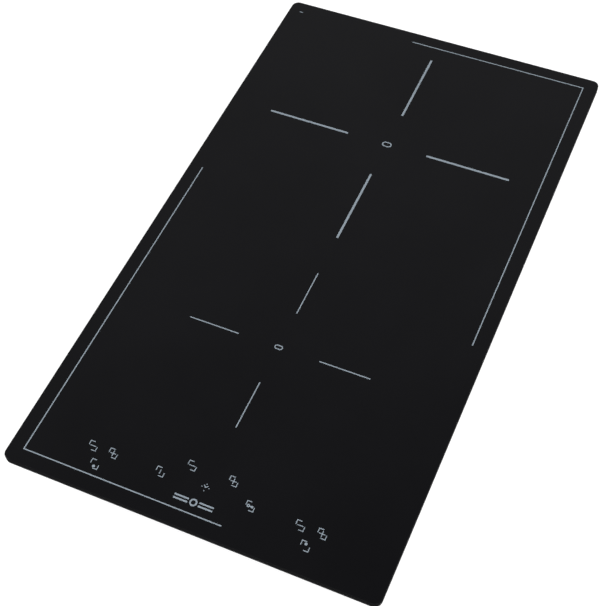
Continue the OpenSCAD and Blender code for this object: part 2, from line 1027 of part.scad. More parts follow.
module bridge_rectifier() {
  color([0.12, 0.12, 0.12])
    translate([sink_x + 14, -30, 0])
      power_device(30, 20, 4);
}

module film_capacitor(w, d, h) {
  block([-w / 2, -d / 2, 0], [w / 2, d / 2, h]);
}

module resonant_capacitors() {
  color([0.2, 0.3, 0.6])
    for (x = [-70, -92], y = [-100, -62])
      translate([x, y, board_top])
        film_capacitor(18, 31, 15);
}

module filter_choke() {
  color([0.7, 0.4, 0.2])
    translate([-88, 68, board_top + 0.6])
      rotate_extrude()
        translate([11, 0])
          square([8, 13]);
}

module filter_capacitor() {
  color([0.85, 0.75, 0.2])
    translate([-58, 84, board_top])
      film_capacitor(16, 30, 15);
}

module smoothing_capacitors() {
  color([0.1, 0.12, 0.3])
    for (x = [-92, -72], y = [6, 30])
      translate([x, y, board_top])
        cylinder(r = 8, h = 17);
}

module supply_transformer() {
  color([0.3, 0.28, 0.25])
    translate([-26, 82, board_top]) {
      block([-11, -12, 0], [11, 12, 4]);
      block([-8, -8, 4], [8, 8, 13]);
      block([-11, -12, 13], [11, 12, 16]);
    }
}

module relay() {
  color([0.15, 0.35, 0.6])
    translate([-112, -46, board_top])
      film_capacitor(12, 29, 15);
}

module fuse() {
  color([0.9, 0.9, 0.85])
    translate([-112, 40, board_top + 3.4])
      rotate([90, 0, 0])
        cylinder(r = 2.6, h = 20, center = true);
}

// Upright spade terminals for the leads
module board_tabs() {
  color([0.85, 0.8, 0.6])
    for (spot = [[-36, 4], [-48, 4], [-36, -18], [-48, -18], [-106, 91], [-97, 91]])
      translate([spot[0], spot[1], board_top]) {
        block([-3, -0.4, 0], [3, 0.4, 0.8]);
      }
}

// ---------- control unit ----------

module control_holder() {
  color([0.85, 0.85, 0.83])
    difference() {
      block([holder_left, holder_front, holder_z], [holder_right, holder_back, glass_z - 0.3]);
      block(
        [holder_left + holder_wall, holder_front + holder_wall, holder_z + holder_wall],
        [holder_right - holder_wall, holder_back - holder_wall, glass_z]
      );
      // exit for the ribbon cable
      block([-8, holder_back - 3, holder_z + holder_wall], [12, holder_back + past, holder_z + 4]);
    }
  color([0.85, 0.85, 0.83])
    at_control_posts()
      translate([0, 0, holder_z + holder_wall / 2])
        difference() {
          cylinder(r = 3, h = control_z - holder_z - holder_wall / 2);
          translate([0, 0, 2])
            cylinder(r = 1.2, h = 10);
        }
}

module at_control_posts() {
  for (x = [holder_left + 6, holder_right - 6], y = [holder_front + 6, holder_back - 6])
    translate([x, y, 0])
      children();
}

module control_board() {
  edge = holder_wall + 0.4;
  color([0.1, 0.35, 0.2])
    difference() {
      block(
        [holder_left + edge, holder_front + edge, control_z],
        [holder_right - edge, holder_back - edge, control_z + board_t]
      );
      at_control_posts()
        translate([0, 0, control_z - past])
          cylinder(r = 1.6, h = 4);
    }
}

// One spring for each key, from the board up to the glass
module touch_springs() {
  color([0.8, 0.8, 0.78])
    for (key = KEYS)
      translate([key[0], key[1], control_z + board_t])
        coil_spring(2.8, 0.4, glass_z - control_z - board_t, 3, 10, 5);
}

module digit_displays() {
  color([0.2, 0.05, 0.05])
    for (x = [panel_x - group_x, panel_x, panel_x + group_x])
      block([x - 7, -timer_row_y - 4.5, control_z + board_t], [x + 7, -timer_row_y + 4.5, glass_z - 0.6]);
}

module buzzer() {
  color([0.1, 0.1, 0.1])
    translate([58, -218, control_z + board_t])
      difference() {
        cylinder(r = 5, h = 4.5);
        translate([0, 0, 3])
          cylinder(r = 1, h = 3);
      }
}

// ---------- internal leads ----------

// Flat cable from the control board down to the power board
module ribbon_cable() {
  run = [
    [-222, 37.2], [-214, 35.5], [-206, 34.2], [-201, 33.8], [-198, 31], [-196.5, 26],
    [-191, 18], [-178, 13.5], [-160, 12], [-140, 11.5], [-124, 10.7], [-118, 10.2]
  ];
  t = 0.5;
  line = [for (k = [0:(len(run) - 1) * 3]) curve_point(run, k / 3)];
  color([0.75, 0.75, 0.78])
    translate([2, 0, 0])
      along_x(14)
        polygon(concat(
          [for (p = line) p + [0, t]],
          [for (k = [len(line) - 1:-1:0]) line[k] - [0, t]]
        ));
}

module coil_leads() {
  color([0.75, 0.3, 0.2])
    for (route = [REAR_LEAD_A, REAR_LEAD_B, FRONT_LEAD_A, FRONT_LEAD_B])
      lead(route, lead_r);
}

module sensor_leads() {
  color([0.9, 0.9, 0.85])
    for (route = [REAR_SENSE, FRONT_SENSE])
      lead(route, thin_lead_r);
}

module supply_leads() {
  color([0.35, 0.25, 0.2])
    for (route = [LIVE_LEAD, NEUTRAL_LEAD, EARTH_LEAD])
      lead(route, lead_r);
}

module fan_lead() {
  color([0.15, 0.15, 0.15])
    lead(FAN_LEAD_ROUTE, thin_lead_r - 0.1);
}

// ---------- mains terminal ----------

module hinge_ears(r) {
  for (x = [window_left - ear_w, window_right])
    translate([x, hinge_y, hinge_z])
      rotate([0, 90, 0])
        cylinder(r = r, h = ear_w);
}

module terminal_box() {
  color([0.9, 0.9, 0.88])
    difference() {
      union() {
        difference() {
          block([box_left, box_front, sheet_t], [box_right, room_y, box_top]);
          block(
            [box_left + box_wall, box_front + box_wall, sheet_t + 1.2],
            [box_right - box_wall, room_y + past, box_top - box_wall]
          );
        }
        for (x = [window_left - ear_w, window_right])
          block([x, room_y - 4, 1.9], [x + ear_w, hinge_y, hinge_z + 1.5]);
        hinge_ears(1.5);
      }
      translate([window_left - 10, hinge_y, hinge_z])
        rotate([0, 90, 0])
          cylinder(r = hinge_hole_r, h = 60);
      for (x = [-112, -104, -88])
        translate([x, box_front - past, 11])
          rotate([-90, 0, 0])
            cylinder(r = lead_r + 0.4, h = 4);
    }
}

block_left = -117;
block_right = -83;
block_front = 212;
block_back = 226;

module at_terminals() {
  for (i = [0:3])
    translate([-112 + i * 8, 0, 0])
      children();
}

module terminal_block() {
  color([0.92, 0.92, 0.9])
    difference() {
      block([block_left, block_front, sheet_t + 1.2], [block_right, block_back, 20]);
      at_terminals() {
        translate([0, block_back + past, 15])
          rotate([90, 0, 0])
            cylinder(r = 2.4, h = 7);
        translate([0, block_back + past, 7])
          rotate([90, 0, 0])
            cylinder(r = 2, h = 9);
        translate([0, block_front - past, 11])
          rotate([-90, 0, 0])
            cylinder(r = lead_r + 0.1, h = 5);
      }
      for (i = [0:4])
        translate([-116.3 + i * 8, block_back - 3, 10])
          cube([0.6, 4, 11]);
    }
}

module terminal_screws() {
  color([0.8, 0.65, 0.3])
    at_terminals()
      translate([0, block_back - 5.8, 15])
        rotate([-90, 0, 0])
          difference() {
            cylinder(r = 2.2, h = 4);
            translate([-2.5, -0.3, 3])
              cube([5, 0.6, 2]);
          }
}

// Cover with a hinge barrel at its lower edge and a catch at its upper edge
module terminal_cover() {
  face = tray_d / 2 + 0.2;
  color([0.9, 0.9, 0.88]) {
    block([window_left - 1.2, face, hinge_z + 1.9], [window_right + 1.2, face + cover_t, cover_top]);
    block([window_left + 0.3, face, hinge_z], [window_right - 0.3, face + cover_t, hinge_z + 2.4]);
    block([-104, face - 2.2, 24], [-96, face + 0.4, 25.2]);
    translate([window_left + 0.3, hinge_y, hinge_z])
      rotate([0, 90, 0])
        cylinder(r = barrel_r, h = window_right - window_left - 0.6);
    translate([window_left - 1.3, hinge_y, hinge_z])
      rotate([0, 90, 0])
        cylinder(r = hinge_pin_r, h = window_right - window_left + 2.6);
  }
}

// Bush that the supply cable passes through
module cable_inlet() {
  color([0.15, 0.15, 0.15])
    translate([inlet_x, tray_d / 2, inlet_z])
      rotate([-90, 0, 0])
        difference() {
          union() {
            translate([0, 0, -9.5])
              cylinder(r = inlet_r, h = 10);
            cylinder(r = inlet_r + 1.6, h = 1.8);
            translate([0, 0, -3.4])
              cylinder(r = inlet_r + 1, h = 1.6);
          }
          translate([0, 0, -10.5])
            cylinder(r = inlet_bore_r, h = 14);
        }
}

// ---------- small screws inside ----------

module inner_screws() {
  color([0.8, 0.8, 0.8]) {
    at_board_holes()
      translate([0, 0, board_top])
        pan_screw(1.3, 5, 2.8, 1.8);
    at_control_posts()
      translate([0, 0, control_z + board_t])
        pan_screw(1.1, 4, 2.4, 1.6);
    for (ear = fan_ears)
      translate([fan_x + ear[0], fan_y + ear[1], sheet_t + 6])
        pan_screw(1.4, 5.4, 2.8, 1.8);
  }
}

glass_panel();
border_print();
zone_print();
key_print();
worktop_seal();
glass_bond();
case_frame();
case_tray();
case_sides();
case_screws();
fan_housing();
fan_motor();
fan_impeller();
air_guide();
coil_plate();
coil_springs();
rear_coil_carrier();
rear_winding();
rear_ferrites();
rear_insulation();
rear_sensor();
front_coil_carrier();
front_winding();
front_ferrites();
front_insulation();
front_sensor();
power_board();
board_standoffs();
heat_sink();
power_transistors();
bridge_rectifier();
resonant_capacitors();
filter_choke();
filter_capacitor();
smoothing_capacitors();
supply_transformer();
relay();
fuse();
board_tabs();
control_holder();
control_board();
touch_springs();
digit_displays();
buzzer();
ribbon_cable();
coil_leads();
sensor_leads();
supply_leads();
fan_lead();
terminal_box();
terminal_block();
terminal_screws();
terminal_cover();
cable_inlet();
clamp_front_left();
clamp_front_right();
clamp_rear_left();
clamp_rear_right();
clamp_screws();
inner_screws();
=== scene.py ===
"""Looks of a built-in two-zone induction cooktop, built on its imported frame.

Shapes are drawn in millimetres and handed to Blender in metres.
"""

import json
import math
import random

import bmesh
import bpy
from mathutils import Matrix, Vector


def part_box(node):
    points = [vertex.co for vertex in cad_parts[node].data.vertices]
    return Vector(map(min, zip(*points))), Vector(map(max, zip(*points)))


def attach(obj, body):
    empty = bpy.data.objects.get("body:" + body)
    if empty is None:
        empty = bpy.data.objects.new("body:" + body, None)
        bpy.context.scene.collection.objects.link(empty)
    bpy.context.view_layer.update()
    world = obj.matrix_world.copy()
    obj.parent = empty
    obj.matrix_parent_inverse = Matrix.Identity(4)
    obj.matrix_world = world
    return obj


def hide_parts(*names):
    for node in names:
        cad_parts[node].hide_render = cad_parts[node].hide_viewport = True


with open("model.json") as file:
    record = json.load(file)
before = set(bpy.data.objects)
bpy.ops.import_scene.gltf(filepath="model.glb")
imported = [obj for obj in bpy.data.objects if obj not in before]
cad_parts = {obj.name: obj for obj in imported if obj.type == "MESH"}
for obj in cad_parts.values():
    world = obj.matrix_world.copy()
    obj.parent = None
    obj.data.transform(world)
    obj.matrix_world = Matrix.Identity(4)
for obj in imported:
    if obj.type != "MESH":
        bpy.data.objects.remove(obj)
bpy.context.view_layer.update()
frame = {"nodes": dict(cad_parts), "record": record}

MM = 0.001
TURN = 2 * math.pi
SAME_POINT = 1e-6  # metres within which CAD points are one
SLOT_OF = {part["node"]: part["material_slot"] for part in frame["record"]["subparts"]}


def box_mm(node):
    """Lowest and highest corner of a CAD node, in millimetres."""
    low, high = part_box(node)
    return low / MM, high / MM


# ---------------------------------------------------------------- materials


class NodeTree:
    """A shader node tree, and short ways to add to it."""

    def __init__(self, tree):
        self.nodes = tree.nodes
        self.links = tree.links

    def add(self, kind, inputs, **settings):
        """Adds a node; an input is either a value or the socket that feeds it."""
        node = self.nodes.new(kind)
        for name, value in settings.items():
            setattr(node, name, value)
        for key, value in inputs.items():
            if isinstance(value, bpy.types.NodeSocket):
                self.links.new(value, node.inputs[key])
            else:
                node.inputs[key].default_value = value
        return node

    def ramp(self, factor, stops, sharp=False):
        """Colours at positions from 0 to 1, blended or in sharp steps."""
        node = self.add("ShaderNodeValToRGB", {0: factor})
        elements = node.color_ramp.elements
        while len(elements) < len(stops):
            elements.new(0.5)
        for element, (position, colour) in zip(elements, stops):
            element.position = position
            element.color = (*colour, 1.0)
        if sharp:
            node.color_ramp.interpolation = "CONSTANT"
        return node.outputs["Color"]


class Surface(NodeTree):
    """A Principled material, with patterns sized in millimetres."""

    def __init__(self, name, metallic=0.0):
        self.material = bpy.data.materials.new(name)
        self.material.use_nodes = True
        super().__init__(self.material.node_tree)
        self.shader = self.nodes["Principled BSDF"]
        self.shader.inputs["Metallic"].default_value = metallic
        self.place = self.add("ShaderNodeTexCoord", {}).outputs["Object"]
        self.normal = None

    def spread(self, size, stretch=(1, 1, 1)):
        """Object coordinates scaled so that one unit is size mm, times stretch along each axis."""
        scale = [1 / (size * MM * s) for s in stretch]
        node = self.add("ShaderNodeVectorMath", {0: self.place, 1: scale}, operation="MULTIPLY")
        return node.outputs[0]

    def noise(self, size, detail, stretch=(1, 1, 1)):
        """Soft noise with features of about this size in mm."""
        inputs = {"Vector": self.spread(size, stretch), "Scale": 1.0, "Detail": detail}
        return self.add("ShaderNodeTexNoise", inputs).outputs[0]

    def cells(self, size, stretch=(1, 1, 1), metric="EUCLIDEAN"):
        """(distance to the cell's centre, a random value for each cell)."""
        inputs = {"Vector": self.spread(size, stretch), "Scale": 1.0}
        node = self.add("ShaderNodeTexVoronoi", inputs, distance=metric)
        split = self.add("ShaderNodeSeparateColor", {0: node.outputs["Color"]})
        return node.outputs["Distance"], split.outputs[0]

    def waves(self, size, axis):
        """Straight ripples across one axis, one every size mm."""
        one_per_unit = TURN / 20  # Blender draws 20 / TURN ripples to the unit at a scale of 1
        inputs = {"Vector": self.spread(size), "Scale": one_per_unit}
        return self.add("ShaderNodeTexWave", inputs, bands_direction=axis).outputs["Fac"]

    def mix(self, factor, a, b):
        """Value between a and b: a where the factor is 0, b where it is 1."""
        inputs = {0: factor, 2: a, 3: b}  # 2 and 3 are the values to mix
        return self.add("ShaderNodeMix", inputs, data_type="FLOAT").outputs[0]

    def colour(self, factor, stops, sharp=False):
        """Base colour from a ramp."""
        self.links.new(self.ramp(factor, stops, sharp), self.shader.inputs["Base Color"])

    def shades(self, factor, colour, depth=0.12):
        """Base colour that strays by this share to both sides of a colour."""
        dark = tuple(c * (1 - depth) for c in colour)
        light = tuple(min(c * (1 + depth), 1.0) for c in colour)
        self.colour(factor, [(0.3, dark), (0.7, light)])

    def rough(self, factor, low, high):
        """Roughness that follows the factor between two values."""
        inputs = {"Value": factor, "From Min": 0.3, "From Max": 0.7, "To Min": low, "To Max": high}
        ranged = self.add("ShaderNodeMapRange", inputs).outputs[0]
        self.links.new(ranged, self.shader.inputs["Roughness"])

    def bump(self, height, depth):
        """Raises the surface by height times depth in mm; calls add up."""
        inputs = {"Height": height, "Distance": depth * MM, "Strength": 1.0}
        if self.normal:
            inputs["Normal"] = self.normal
        self.normal = self.add("ShaderNodeBump", inputs).outputs["Normal"]
        self.links.new(self.normal, self.shader.inputs["Normal"])


# Moulded, painted and rubber finishes: linear colour, roughness, grain size and depth in mm
MOULDED = {
    "silicone_bond": ((0.022, 0.022, 0.023), 0.45, 2.5, 0.05),
    "black_plastic": ((0.017, 0.017, 0.019), 0.48, 0.5, 0.03),
    "impeller_plastic": ((0.011, 0.011, 0.012), 0.36, 0.7, 0.015),
    "motor_body": ((0.075, 0.058, 0.045), 0.40, 1.2, 0.04),
    "cream_plastic": ((0.58, 0.52, 0.40), 0.46, 0.6, 0.03),
    "white_plastic": ((0.64, 0.64, 0.60), 0.40, 0.5, 0.02),
    "red_silicone": ((0.50, 0.045, 0.025), 0.42, 0.8, 0.03),
    "device_black": ((0.014, 0.014, 0.015), 0.55, 0.3, 0.03),
    "blue_film": ((0.018, 0.05, 0.22), 0.32, 0.8, 0.02),
    "yellow_film": ((0.62, 0.40, 0.03), 0.32, 0.8, 0.02),
    "capacitor_sleeve": ((0.006, 0.010, 0.045), 0.28, 1.4, 0.03),
    "transformer_tape": ((0.62, 0.42, 0.045), 0.30, 1.5, 0.04),
    "relay_case": ((0.012, 0.065, 0.26), 0.34, 0.9, 0.02),
    "fuse_ceramic": ((0.80, 0.78, 0.70), 0.38, 0.6, 0.02),
    "display_face": ((0.016, 0.003, 0.003), 0.18, 3.0, 0.01),
    "lead_red": ((0.42, 0.020, 0.012), 0.42, 0.9, 0.02),
    "lead_white": ((0.72, 0.72, 0.68), 0.42, 0.9, 0.02),
    "lead_brown": ((0.070, 0.028, 0.012), 0.42, 0.9, 0.02),
    "lead_blue": ((0.015, 0.070, 0.34), 0.42, 0.9, 0.02),
    "lead_black": ((0.010, 0.010, 0.010), 0.42, 0.9, 0.02),
    "inlet_rubber": ((0.013, 0.013, 0.013), 0.62, 0.5, 0.04),
}

# Metal finishes: linear colour, roughness, stretch of the draw marks along X, Y and Z
METAL = {
    "screw_steel": ((0.60, 0.60, 0.57), 0.26, (1, 1, 1)),
    "clamp_steel": ((0.58, 0.57, 0.52), 0.34, (1, 14, 1)),
    "spring_steel": ((0.52, 0.52, 0.51), 0.22, (1, 1, 1)),
    "sheet_aluminium": ((0.78, 0.79, 0.80), 0.34, (1, 40, 1)),
    "extruded_aluminium": ((0.72, 0.73, 0.74), 0.30, (1, 60, 1)),
    "enamelled_copper": ((0.62, 0.19, 0.055), 0.24, (1, 1, 1)),
    "stranded_copper": ((0.66, 0.24, 0.085), 0.33, (1, 1, 1)),
    "brass_fittings": ((0.68, 0.47, 0.16), 0.27, (1, 1, 8)),
    "tinned_brass": ((0.66, 0.64, 0.56), 0.30, (1, 1, 1)),
}


def moulded(slot):
    """A finish from the MOULDED table: cloudy tone and a fine grain."""
    colour, roughness, grain, depth = MOULDED[slot]
    surface = Surface(slot)
    cloud = surface.noise(18, 4)
    fine = surface.noise(grain, 2)
    surface.shades(surface.mix(0.4, cloud, fine), colour, 0.14)
    surface.rough(cloud, roughness - 0.06, roughness + 0.08)
    surface.bump(fine, depth)
    return surface


def metal(slot):
    """A finish from the METAL table: cloudy tone and fine draw marks."""
    colour, roughness, stretch = METAL[slot]
    surface = Surface(slot, metallic=0.85)
    cloud = surface.noise(9, 4)
    drawn = surface.noise(0.35, 3, stretch)
    surface.shades(surface.mix(0.5, cloud, drawn), colour, 0.10)
    surface.rough(surface.mix(0.5, cloud, drawn), roughness - 0.08, roughness + 0.12)
    surface.bump(drawn, 0.008)
    return surface


def black_glass(slot):
    """Black glass ceramic: near mirror smooth, with a faint rolled ripple and handling haze."""
    surface = Surface(slot)
    haze = surface.noise(70, 5)
    ripple = surface.noise(14, 1)
    surface.shades(haze, (0.0030, 0.0030, 0.0036), 0.12)
    surface.rough(haze, 0.10, 0.14)
    surface.bump(ripple, 0.0012)
    return surface


def grey_enamel(slot):
    """Screen-printed enamel: satin, with the fine grain of the screen."""
    surface = Surface(slot)
    screen = surface.noise(0.35, 2)
    cloud = surface.noise(6, 3)
    surface.shades(surface.mix(0.5, cloud, screen), (0.196, 0.232, 0.264), 0.09)
    surface.rough(screen, 0.42, 0.6)
    surface.bump(screen, 0.01)
    return surface


def foam_seal(slot):
    """Closed-cell foam: small open pits at its cut skin."""
    surface = Surface(slot)
    pits, cell = surface.cells(0.55)
    cloud = surface.noise(5, 4)
    surface.shades(surface.mix(0.5, cloud, cell), (0.020, 0.020, 0.021), 0.35)
    surface.rough(cloud, 0.86, 0.98)
    surface.bump(pits, 0.16)
    return surface


def zinc_steel(slot):
    """Hot-dip galvanised sheet: crystals of many greys, and fine rolling marks."""
    surface = Surface(slot, metallic=0.5)
    _, crystal = surface.cells(6.5)
    _, small = surface.cells(2.6)
    fine = surface.noise(0.5, 4, (1, 12, 1))
    cloud = surface.noise(60, 3)
    tone = surface.mix(0.35, surface.mix(0.4, crystal, small), surface.mix(0.5, fine, cloud))
    dull, plain, bright = (0.47, 0.48, 0.49), (0.56, 0.57, 0.58), (0.67, 0.68, 0.69)
    surface.colour(tone, [(0.2, dull), (0.5, plain), (0.8, bright)])
    surface.rough(tone, 0.30, 0.48)
    surface.bump(fine, 0.012)
    return surface


def ferrite(slot):
    """Sintered ferrite: matt charcoal with a gritty skin."""
    surface = Surface(slot)
    grit = surface.noise(0.25, 3)
    cloud = surface.noise(6, 3)
    surface.shades(surface.mix(0.5, cloud, grit), (0.030, 0.030, 0.033), 0.3)
    surface.rough(grit, 0.55, 0.8)
    surface.bump(grit, 0.05)
    return surface


def fibre_insulation(slot):
    """Ceramic fibre paper: matted long fibres both ways."""
    surface = Surface(slot)
    along = surface.noise(0.5, 3, (9, 1, 1))
    across = surface.noise(0.5, 3, (1, 9, 1))
    mat = surface.mix(0.5, along, across)
    surface.shades(mat, (0.58, 0.56, 0.51), 0.14)
    surface.rough(mat, 0.85, 0.95)
    surface.bump(mat, 0.15)
    return surface


def green_board(slot):
    """Circuit board: tracks and copper areas showing through glossy green solder mask."""
    surface = Surface(slot)
    _, areas = surface.cells(7, (1, 2, 1), "CHEBYCHEV")
    _, tracks = surface.cells(1.6, (1, 6, 1), "CHEBYCHEV")
    weave = surface.noise(0.4, 2)
    plan = surface.mix(0.5, areas, tracks)
    dark, mid, light = (0.004, 0.040, 0.016), (0.008, 0.075, 0.028), (0.016, 0.115, 0.042)
    surface.colour(plan, [(0.0, dark), (0.42, mid), (0.6, light)], sharp=True)
    surface.rough(weave, 0.24, 0.38)
    steps = [(0.0, (0.0,) * 3), (0.42, (0.5,) * 3), (0.6, (1.0,) * 3)]
    surface.bump(surface.ramp(plan, steps, sharp=True), 0.03)
    return surface


def grey_ribbon(slot):
    """Flat cable: one rounded ridge for each wire."""
    surface = Surface(slot)
    ridges_and_groove_shade = surface.waves(1.27, "X")
    cloud = surface.noise(8, 3)
    # The colour follows the ridges too, darker in the grooves between wires: painted shade.
    surface.shades(surface.mix(0.4, cloud, ridges_and_groove_shade), (0.36, 0.37, 0.39), 0.12)
    surface.rough(cloud, 0.38, 0.5)
    surface.bump(ridges_and_groove_shade, 0.3)
    return surface


def earth_sleeve(slot):
    """Green and yellow sleeve of the earth lead."""
    surface = Surface(slot)
    bands = surface.noise(9, 0, (1, 0.6, 1))
    fine = surface.noise(0.9, 2)
    green, yellow = (0.03, 0.22, 0.03), (0.70, 0.56, 0.02)
    surface.colour(bands, [(0.0, green), (0.5, yellow)], sharp=True)
    surface.rough(fine, 0.38, 0.5)
    surface.bump(fine, 0.02)
    return surface


# Finishes with a recipe of their own
SPECIAL = {
    "black_glass": black_glass,
    "grey_enamel": grey_enamel,
    "foam_seal": foam_seal,
    "zinc_steel": zinc_steel,
    "ferrite": ferrite,
    "fibre_insulation": fibre_insulation,
    "green_board": green_board,
    "grey_ribbon": grey_ribbon,
    "earth_sleeve": earth_sleeve,
}
made_surfaces = {}


def finish_of(slot):
    """The material of a slot, made once."""
    if slot not in made_surfaces:
        recipe = SPECIAL.get(slot) or (metal if slot in METAL else moulded)
        made_surfaces[slot] = recipe(slot).material
    return made_surfaces[slot]


# ---------------------------------------------------------------- shapes


def frames_along(path, closed):
    """For each point of a path: the point and two directions square to the path."""
    count = len(path)
    side = None
    for i, point in enumerate(path):
        before = path[i - 1] if i or closed else point
        after = path[(i + 1) % count] if i + 1 < count or closed else point
        ahead = (after - before).normalized()
        if side is None:
            up = Vector((0, 0, 1)) if abs(ahead.z) < 0.9 else Vector((1, 0, 0))
            side = ahead.cross(up)
        side = (side - ahead * side.dot(ahead)).normalized()
        yield point, side, side.cross(ahead)


def ring_outline(radius, sides):
    """Points of a circle as (across, up)."""
    angles = [TURN * k / sides for k in range(sides)]
    return [(radius * math.cos(a), radius * math.sin(a)) for a in angles]


def rounded_path(low, high, z, radius, steps):
    """Points round a rectangle with round corners."""
    points = []
    corners = [(high.x, high.y, 0), (low.x, high.y, 1), (low.x, low.y, 2), (high.x, low.y, 3)]
    for x, y, quarter in corners:
        cx = x - math.copysign(radius, x - low.x - radius)
        cy = y - math.copysign(radius, y - low.y - radius)
        for k in range(steps + 1):
            angle = (quarter + k / steps) * TURN / 4
            points.append(Vector((cx + radius * math.cos(angle), cy + radius * math.sin(angle), z)))
    return points


class Shape:
    """A piece drawn in millimetres, in one or more finishes."""

    def __init__(self, name, slot):
        self.name = name
        self.mesh = bmesh.new()
        self.slots = []
        self.use(slot)

    def use(self, slot):
        """What is drawn next has this finish."""
        if slot not in self.slots:
            self.slots.append(slot)
        self.index = self.slots.index(slot)

    def face(self, verts):
        """A smooth face in the finish in use."""
        made = self.mesh.faces.new(verts)
        made.material_index = self.index
        made.smooth = True
        return made

    def block(self, low, high, edge, steps=2):
        """Box with rounded edges. Returns its top face."""
        low, high = Vector(low), Vector(high)
        part = bmesh.new()
        bmesh.ops.create_cube(part, size=1.0)
        part.transform(Matrix.Translation((low + high) / 2) @ Matrix.Diagonal((*(high - low), 1.0)))
        edges = part.edges[:]
        bmesh.ops.bevel(part, geom=edges, offset=edge, segments=steps, profile=0.5, affect="EDGES")
        part.verts.index_update()
        verts = [self.mesh.verts.new(v.co) for v in part.verts]
        faces = [self.face([verts[v.index] for v in f.verts]) for f in part.faces]
        part.free()
        self.mesh.normal_update()
        return max(faces, key=lambda f: (f.normal.z > 0.9) * f.calc_area())

    def dish(self, face, border, depth):
        """Sinks the middle of a flat face, leaving a border."""
        bmesh.ops.inset_region(self.mesh, faces=[face], thickness=border)
        bmesh.ops.inset_region(self.mesh, faces=[face], thickness=depth)
        for vert in face.verts:
            vert.co -= face.normal * depth

    def sweep(self, path, outline, closed=False):
        """Carries a closed outline, or a function that gives one for each point, along a path."""
        rings = []
        for i, (point, side, up) in enumerate(frames_along(path, closed)):
            shape = outline(i) if callable(outline) else outline
            rings.append([self.mesh.verts.new(point + side * a + up * b) for a, b in shape])
        pairs = list(zip(rings, rings[1:])) + ([(rings[-1], rings[0])] if closed else [])
        for a, b in pairs:
            for k in range(len(a)):
                n = (k + 1) % len(a)
                self.face([a[k], a[n], b[n], b[k]])
        if not closed:
            self.face(rings[0])
            self.face(rings[-1][::-1])

    def lathe(self, profile, centre, steps=40, axis="Z"):
        """Turns a profile of (radius, height) round an axis; a radius of 0 is a point."""
        turn = {"Z": Matrix.Identity(3), "Y": Matrix.Rotation(-TURN / 4, 3, "X")}[axis]
        rings = []
        for radius, height in profile:
            count = steps if radius else 1
            rings.append([
                self.mesh.verts.new(Vector(centre) + turn @ Vector((across, up, height)))
                for across, up in ring_outline(radius, steps)[:count]
            ])
        for a, b in zip(rings, rings[1:]):
            for k in range(steps):
                n = (k + 1) % steps
                corners = [a[k % len(a)], a[n % len(a)], b[n % len(b)], b[k % len(b)]]
                self.face(list(dict.fromkeys(corners)))

    def copy(self, faces):
        """Copies faces of a CAD mesh, which is in metres."""
        made = {}
        for face in faces:
            for vert in face.verts:
                if vert not in made:
                    made[vert] = self.mesh.verts.new(vert.co / MM)
            self.face([made[v] for v in face.verts])

    def place(self, body, stands_for=(), sharp=35):
        """Makes the Blender object, riding on a body and standing for some CAD nodes.

        Edges that turn by more than sharp degrees stay sharp.
        """
        bmesh.ops.recalc_face_normals(self.mesh, faces=self.mesh.faces)
        self.mesh.transform(Matrix.Scale(MM, 4))
        data = bpy.data.meshes.new(self.name)
        self.mesh.to_mesh(data)
        self.mesh.free()
        for slot in self.slots:
            data.materials.append(finish_of(slot))
        data.set_sharp_from_angle(angle=math.radians(sharp))
        piece = bpy.data.objects.new(self.name, data)
        bpy.context.scene.collection.objects.link(piece)
        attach(piece, body)
        if stands_for:
            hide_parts(*stands_for)


# Split CAD nodes; each mesh is kept with its solids, so that their faces stay valid
opened = {}


def islands(node):
    """The separate solids of a CAD node, each as (lowest corner, highest corner, faces)."""
    if node in opened:
        return opened[node][1]
    mesh = bmesh.new()
    mesh.from_mesh(frame["nodes"][node].data)
    bmesh.ops.remove_doubles(mesh, verts=mesh.verts, dist=SAME_POINT)
    left = set(mesh.faces)
    found = []
    for start in mesh.faces:
        if start not in left:
            continue
        left.discard(start)
        group, waiting = [start], [start]
        while waiting:
            for edge in waiting.pop().edges:
                for other in edge.link_faces:
                    if other in left:
                        left.discard(other)
                        group.append(other)
                        waiting.append(other)
        points = [v.co for f in group for v in f.verts]
        low = Vector([min(p[k] for p in points) for k in range(3)]) / MM
        high = Vector([max(p[k] for p in points) for k in range(3)]) / MM
        found.append((low, high, group))
    found.sort(key=lambda item: tuple(round(c, 2) for c in item[0]))
    opened[node] = mesh, found
    return found


# ---------------------------------------------------------------- carried-over CAD nodes

# Radius in mm by which edges are eased: the usual one, and the nodes with another
USUAL_EASE = 0.15
EASED = {
    "glass_panel": 0.35,
    "case_tray": 0.25,
    "case_sides": 0.25,
    "case_frame": 0.25,
    "fan_housing": 0.4,
    "air_guide": 0.4,
    "terminal_box": 0.4,
    "terminal_cover": 0.35,
    "terminal_block": 0.4,
    "control_holder": 0.4,
    "cable_inlet": 0.4,
    "clamp_front_left": 0.4,
    "clamp_front_right": 0.4,
    "clamp_rear_left": 0.4,
    "clamp_rear_right": 0.4,
    "rear_ferrites": 0.5,
    "front_ferrites": 0.5,
    "buzzer": 0.4,
}
WIRES = ["coil_springs", "touch_springs", "coil_leads", "sensor_leads", "fan_lead"]
PRINTS = ["border_print", "zone_print", "key_print"]


def weld_points(node):
    """Joins the faces of a CAD node, which repeat their shared points."""
    weld = node.modifiers.new("weld", "WELD")
    weld.merge_threshold = SAME_POINT


def ease_edges(node, radius):
    """Rounds the sharp edges of a CAD node with modifiers, and smooths its curved faces."""
    weld_points(node)
    flatten = node.modifiers.new("flatten", "DECIMATE")
    flatten.decimate_type = "DISSOLVE"
    flatten.angle_limit = math.radians(0.5)
    bevel = node.modifiers.new("bevel", "BEVEL")
    bevel.width = radius * MM
    bevel.segments = 2
    bevel.limit_method = "ANGLE"
    bevel.angle_limit = math.radians(40)
    bevel.use_clamp_overlap = True
    normals = node.modifiers.new("normals", "WEIGHTED_NORMAL")
    normals.keep_sharp = False


